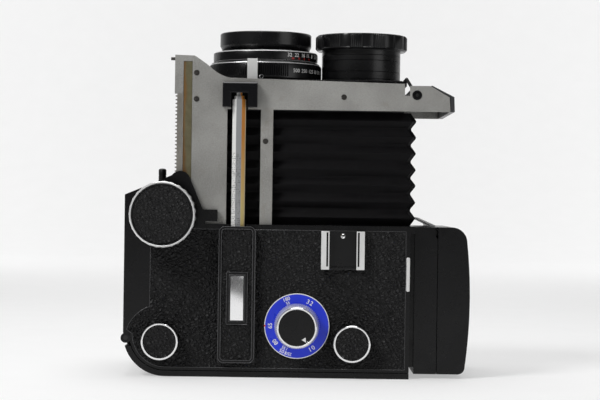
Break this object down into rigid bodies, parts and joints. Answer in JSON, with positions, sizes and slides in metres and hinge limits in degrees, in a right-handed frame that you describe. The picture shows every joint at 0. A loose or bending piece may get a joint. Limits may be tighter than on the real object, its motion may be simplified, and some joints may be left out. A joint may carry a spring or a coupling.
{
  "type": "twin lens reflex camera",
  "caption": "Medium format twin lens reflex camera with rack focusing, square bellows, removable lens board and folded waist level hood, resting on its back with the lenses up.",
  "frame": {"origin": "middle of the whole outline in X and Y, on the outer face of the back door", "axes": "+X towards the hood at the camera's top, +Y to the user's right, +Z out of the lenses; the camera lies on its back"},
  "size_m": [0.1778, 0.116, 0.1752],
  "materials": {
    "black_enamel": "satin black enamel over cast aluminium",
    "inner_black": "matt black anti-reflection paint on cast aluminium",
    "leatherette": "pebbled black leatherette",
    "bellows_cloth": "black pleated bellows cloth",
    "satin_grey": "fine satin grey on aluminium plate",
    "cover_grey": "dark grey lacquer on aluminium sheet",
    "bright_chrome": "polished chrome",
    "steel": "machined steel",
    "brass": "turned brass",
    "black_anodised": "semi-gloss black anodised aluminium",
    "lens_black": "semi-gloss black enamel, fine turned rings",
    "dial_blue": "blue enamel with white marks",
    "rod_enamel": "enamelled faces in white, grey, orange and beige",
    "black_wire": "blackened spring wire",
    "black_plastic": "matt black plastic",
    "lens_glass": "coated optical glass",
    "screen_glass": "fine ground glass",
    "mirror": "surface-silvered mirror"
  },
  "bodies": {
    "camera_body": {"body_shell": "black_enamel", "film_chamber": "inner_black", "reflex_mirror": "mirror", "front_cover": "black_enamel", "left_leatherette": "leatherette", "right_leatherette": "leatherette", "channel_cover": "leatherette", "scale_window": "bright_chrome", "accessory_shoe": "bright_chrome", "strap_lugs": "bright_chrome", "dial_ring": "dial_blue", "tripod_socket": "brass", "name_plate": "black_enamel", "hinge_pin": "steel", "bellows": "bellows_cloth", "hood_base": "black_enamel", "focusing_screen": "screen_glass"},
    "back_door": {"back_door": "black_enamel", "back_leatherette": "leatherette"},
    "pressure_plate": {"pressure_plate": "inner_black"},
    "back_latch": {"back_latch": "bright_chrome"},
    "supply_spool": {"supply_spool": "black_plastic"},
    "takeup_spool": {"takeup_spool": "black_plastic"},
    "supply_spool_knob": {"supply_spool_knob": "black_anodised"},
    "takeup_spool_knob": {"takeup_spool_knob": "black_anodised"},
    "advance_knob": {"advance_knob": "black_anodised"},
    "advance_crank": {"advance_crank": "bright_chrome"},
    "lock_dial": {"lock_dial": "black_anodised"},
    "light_baffle": {"light_baffle": "inner_black"},
    "release_plunger": {"release_plunger": "black_anodised"},
    "focus_drive": {"focus_shaft": "steel", "focus_knob_left": "black_anodised", "focus_knob_right": "black_anodised", "focus_grip_discs": "leatherette"},
    "front_standard": {"standard_left_plate": "satin_grey", "standard_right_plate": "satin_grey", "standard_front_plate": "inner_black", "bellows_frame": "inner_black", "standard_top_cover": "cover_grey", "standard_screws": "steel", "focus_racks": "steel", "rod_holder": "black_enamel", "lens_board": "black_enamel", "taking_barrel": "lens_black", "taking_elements": "lens_glass", "viewing_barrel": "lens_black", "viewing_hood_ring": "lens_black", "viewing_elements": "lens_glass"},
    "scale_rod": {"scale_rod": "rod_enamel"},
    "lens_bail": {"lens_bail": "black_wire"},
    "speed_ring": {"speed_ring": "lens_black"},
    "aperture_ring": {"aperture_ring": "lens_black"},
    "cocking_lever": {"cocking_lever": "bright_chrome"},
    "hood_lid": {"hood_lid": "black_enamel"},
    "lid_button": {"lid_button": "bright_chrome"},
    "hood_left_leaf": {"hood_left_leaf": "inner_black"},
    "hood_right_leaf": {"hood_right_leaf": "inner_black"},
    "hood_rear_leaf": {"hood_rear_leaf": "inner_black"},
    "magnifier": {"magnifier_frame": "black_anodised", "magnifier_lens": "lens_glass"}
  },
  "joints": [
    {"name": "focus_slide", "type": "slide", "parent": "camera_body", "child": "front_standard", "axis": [0, 0, 1], "range_m": [-0.052, 0], "deforming": ["bellows"]},
    {"name": "focus_turn", "type": "hinge", "parent": "camera_body", "child": "focus_drive", "pos_m": [-0.0678, 0, 0.081], "axis": [0, 1, 0], "range_deg": [-1, 590]},
    {"name": "back_door_open", "type": "hinge", "parent": "camera_body", "child": "back_door", "pos_m": [-0.0864, 0, 0.0188], "axis": [0, 1, 0], "range_deg": [0, 100]},
    {"name": "pressure_plate_float", "type": "slide", "parent": "back_door", "child": "pressure_plate", "axis": [0, 0, 1], "range_m": [-0.0015, 0], "stiffness_N_per_m": 400, "springref_m": 0.002},
    {"name": "back_latch_slide", "type": "slide", "parent": "back_door", "child": "back_latch", "axis": [-1, 0, 0], "range_m": [0, 0.0025], "stiffness_N_per_m": 200, "springref_m": -0.002},
    {"name": "supply_spool_turn", "type": "hinge", "parent": "camera_body", "child": "supply_spool", "pos_m": [-0.0688, 0, 0.0178], "axis": [0, 1, 0], "continuous": true},
    {"name": "advance_turn", "type": "hinge", "parent": "camera_body", "child": "advance_knob", "pos_m": [0.0268, 0, 0.0178], "axis": [0, 1, 0], "continuous": true},
    {"name": "takeup_spool_turn", "type": "hinge", "parent": "camera_body", "child": "takeup_spool", "pos_m": [0.0268, 0, 0.0178], "axis": [0, 1, 0], "continuous": true},
    {"name": "crank_fold", "type": "hinge", "parent": "advance_knob", "child": "advance_crank", "pos_m": [0.0268, 0.0536, 0.0078], "axis": [1, 0, 0], "range_deg": [-150, 0]},
    {"name": "supply_knob_pull", "type": "slide", "parent": "camera_body", "child": "supply_spool_knob", "axis": [0, -1, 0], "range_m": [0, 0.006], "stiffness_N_per_m": 200, "springref_m": -0.004},
    {"name": "takeup_knob_pull", "type": "slide", "parent": "camera_body", "child": "takeup_spool_knob", "axis": [0, -1, 0], "range_m": [0, 0.006], "stiffness_N_per_m": 200, "springref_m": -0.004},
    {"name": "lock_turn", "type": "hinge", "parent": "camera_body", "child": "lock_dial", "pos_m": [-0.0007, -0.05, 0.026], "axis": [0, 1, 0], "range_deg": [0, 120]},
    {"name": "baffle_fold", "type": "hinge", "parent": "camera_body", "child": "light_baffle", "pos_m": [-0.0476, 0, 0.0124], "axis": [0, 1, 0], "range_deg": [0, 90]},
    {"name": "release_press", "type": "slide", "parent": "camera_body", "child": "release_plunger", "axis": [0, 0, -1], "range_m": [0, 0.004], "stiffness_N_per_m": 300, "springref_m": -0.002},
    {"name": "scale_rod_turn", "type": "hinge", "parent": "front_standard", "child": "scale_rod", "pos_m": [-0.031, -0.0414, 0.1], "axis": [0, 0, 1], "continuous": true},
    {"name": "lens_bail_swing", "type": "hinge", "parent": "front_standard", "child": "lens_bail", "pos_m": [0.0581, 0, 0.1424], "axis": [0, 1, 0], "range_deg": [0, 70]},
    {"name": "shutter_speed_turn", "type": "hinge", "parent": "front_standard", "child": "speed_ring", "pos_m": [-0.019, 0, 0.155], "axis": [0, 0, 1], "range_deg": [-60, 60]},
    {"name": "aperture_turn", "type": "hinge", "parent": "front_standard", "child": "aperture_ring", "pos_m": [-0.019, 0, 0.163], "axis": [0, 0, 1], "range_deg": [-30, 30]},
    {"name": "shutter_cock", "type": "hinge", "parent": "front_standard", "child": "cocking_lever", "pos_m": [-0.019, 0, 0.1502], "axis": [0, 0, 1], "range_deg": [-30, 0], "stiffness_Nm_per_rad": 0.02, "springref_deg": 17.19},
    {"name": "lid_open", "type": "hinge", "parent": "camera_body", "child": "hood_lid", "pos_m": [0.073, 0, 0.0734], "axis": [0, -1, 0], "range_deg": [0, 90]},
    {"name": "lid_button_press", "type": "slide", "parent": "hood_lid", "child": "lid_button", "axis": [-1, 0, 0], "range_m": [0, 0.0012], "stiffness_N_per_m": 150, "springref_m": -0.002},
    {"name": "left_leaf_fold", "type": "hinge", "parent": "camera_body", "child": "hood_left_leaf", "pos_m": [0.0724, -0.0336, 0.037], "axis": [0, 0, -1], "range_deg": [0, 90]},
    {"name": "right_leaf_fold", "type": "hinge", "parent": "camera_body", "child": "hood_right_leaf", "pos_m": [0.0724, 0.0336, 0.037], "axis": [0, 0, 1], "range_deg": [0, 90]},
    {"name": "rear_leaf_fold", "type": "hinge", "parent": "camera_body", "child": "hood_rear_leaf", "pos_m": [0.0709, 0, 0.0078], "axis": [0, 1, 0], "range_deg": [0, 90]},
    {"name": "magnifier_fold", "type": "hinge", "parent": "hood_lid", "child": "magnifier", "pos_m": [0.0806, 0, 0.0374], "axis": [0, 1, 0], "range_deg": [0, 90]}
  ],
  "couplings": [
    {"joint": "focus_turn", "follows": "focus_slide", "rad_per_m": -196.08},
    {"joint": "takeup_spool_turn", "follows": "advance_turn", "ratio": 1},
    {"joint": "baffle_fold", "follows": "lock_turn", "ratio": 0.75},
    {"joint": "left_leaf_fold", "follows": "lid_open", "ratio": 1},
    {"joint": "right_leaf_fold", "follows": "lid_open", "ratio": 1},
    {"joint": "rear_leaf_fold", "follows": "lid_open", "ratio": 1},
    {"joint": "magnifier_fold", "follows": "lid_open", "ratio": 1}
  ]
}
